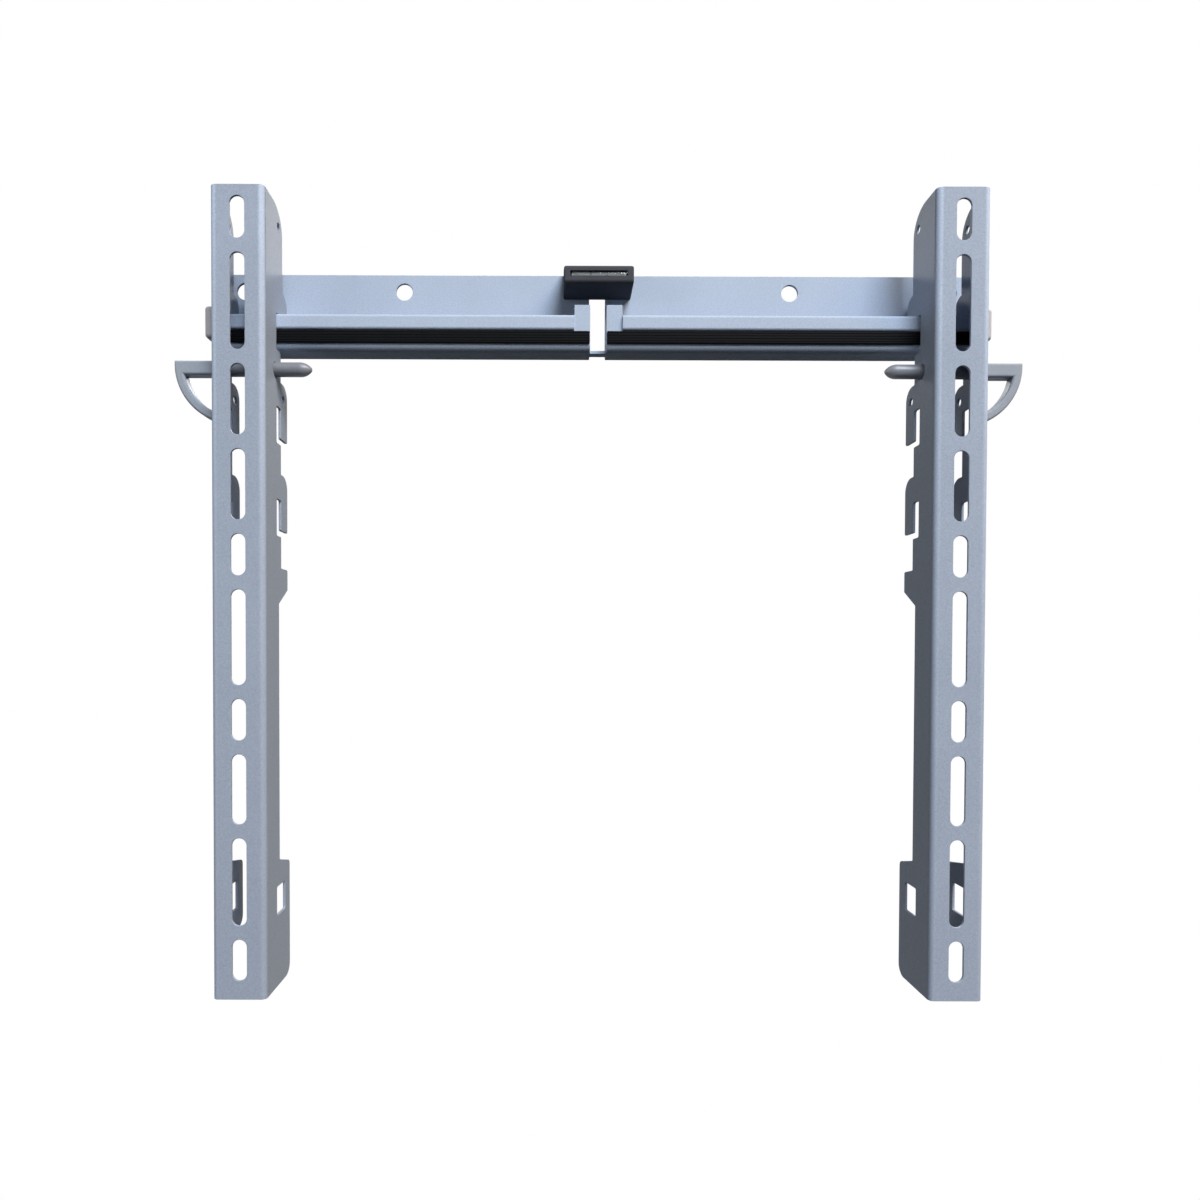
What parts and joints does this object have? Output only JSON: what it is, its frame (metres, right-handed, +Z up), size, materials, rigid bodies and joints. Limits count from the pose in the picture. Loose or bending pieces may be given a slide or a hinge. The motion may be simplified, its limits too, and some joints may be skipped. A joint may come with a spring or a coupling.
{
  "type": "tv mount",
  "caption": "Flat television wall mount: a folded steel wall rail with hook-on slotted strips, pull-out locking pins with finger handles and a clip-on level.",
  "frame": {"origin": "on the wall, midway along the row of wall screw holes", "axes": "+X along the rail to the right, +Y into the wall, +Z up"},
  "size_m": [0.483, 0.04, 0.451],
  "materials": {
    "rail_coat": "silver-grey powder coat, fine satin",
    "strip_coat": "silver-grey powder coat, fine satin",
    "cap_plastic": "grey moulded plastic",
    "glide_plastic": "black extruded plastic",
    "level_plastic": "black moulded plastic, fine grain",
    "vial_clear": "clear tube",
    "vial_spirit": "pale grey spirit",
    "pin_steel": "turned and zinc plated",
    "handle_plastic": "silver-grey moulded plastic"
  },
  "bodies": {
    "rail": {"wall_rail": "rail_coat", "left_glide_strip": "glide_plastic", "right_glide_strip": "glide_plastic", "left_rail_cap": "cap_plastic", "right_rail_cap": "cap_plastic", "level_housing": "level_plastic", "level_vial": "vial_clear", "level_spirit": "vial_spirit"},
    "left_strip": {"left_strip": "strip_coat"},
    "right_strip": {"right_strip": "strip_coat"},
    "left_pin": {"left_lock_pin": "pin_steel", "left_pin_handle": "handle_plastic"},
    "right_pin": {"right_lock_pin": "pin_steel", "right_pin_handle": "handle_plastic"}
  },
  "joints": [
    {"name": "left_strip_slide", "type": "slide", "parent": "rail", "child": "left_strip", "axis": [1, 0, 0], "range_m": [-0.0015, 0.15]},
    {"name": "right_strip_slide", "type": "slide", "parent": "rail", "child": "right_strip", "axis": [-1, 0, 0], "range_m": [-0.0015, 0.15]},
    {"name": "left_pin_pull", "type": "slide", "parent": "left_strip", "child": "left_pin", "axis": [-1, 0, 0], "range_m": [0, 0.052]},
    {"name": "right_pin_pull", "type": "slide", "parent": "right_strip", "child": "right_pin", "axis": [1, 0, 0], "range_m": [0, 0.052]}
  ]
}
